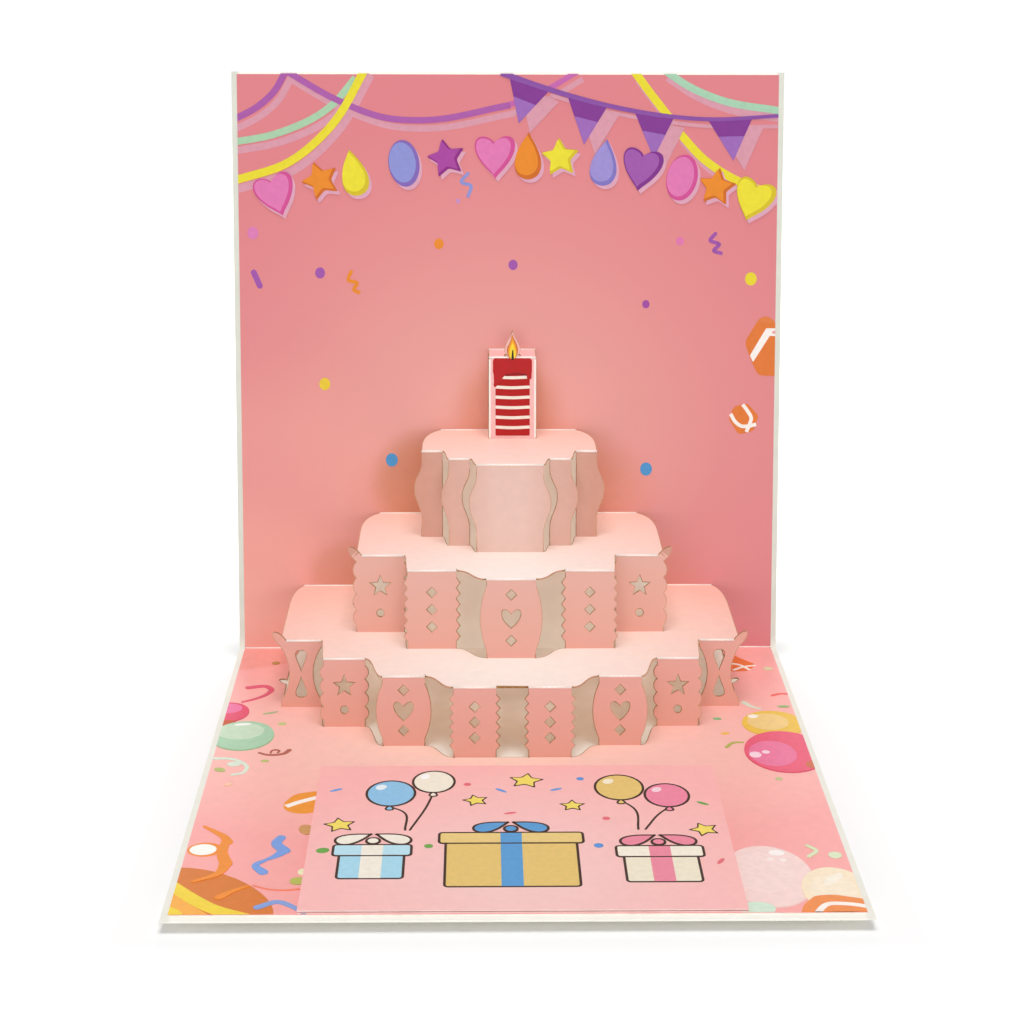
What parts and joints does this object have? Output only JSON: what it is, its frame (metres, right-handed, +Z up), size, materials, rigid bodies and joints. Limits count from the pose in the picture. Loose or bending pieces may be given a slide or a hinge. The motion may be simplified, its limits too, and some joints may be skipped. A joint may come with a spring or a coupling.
{
  "type": "pop-up greeting card",
  "caption": "Folded greeting card standing open, with a tiered cake and candle that are cut and folded from its printed inner sheet, and a small folded note card at the front.",
  "frame": {"origin": "Middle of the lower panel's underside, on the surface the card stands on", "axes": "+X to the right as the reader sees it, +Y from the reader towards the spine fold, +Z up"},
  "size_m": [0.15, 0.1879, 0.1563],
  "materials": {
    "cover_board": "uncoated cream board",
    "printed_sheet": "matt pink print on white card, laser-cut edges browned",
    "note_paper": "matt pink print on white card"
  },
  "bodies": {
    "root": {"cover": "cover_board", "popup_sheet": "printed_sheet", "note_card": "note_paper"}
  },
  "joints": []
}
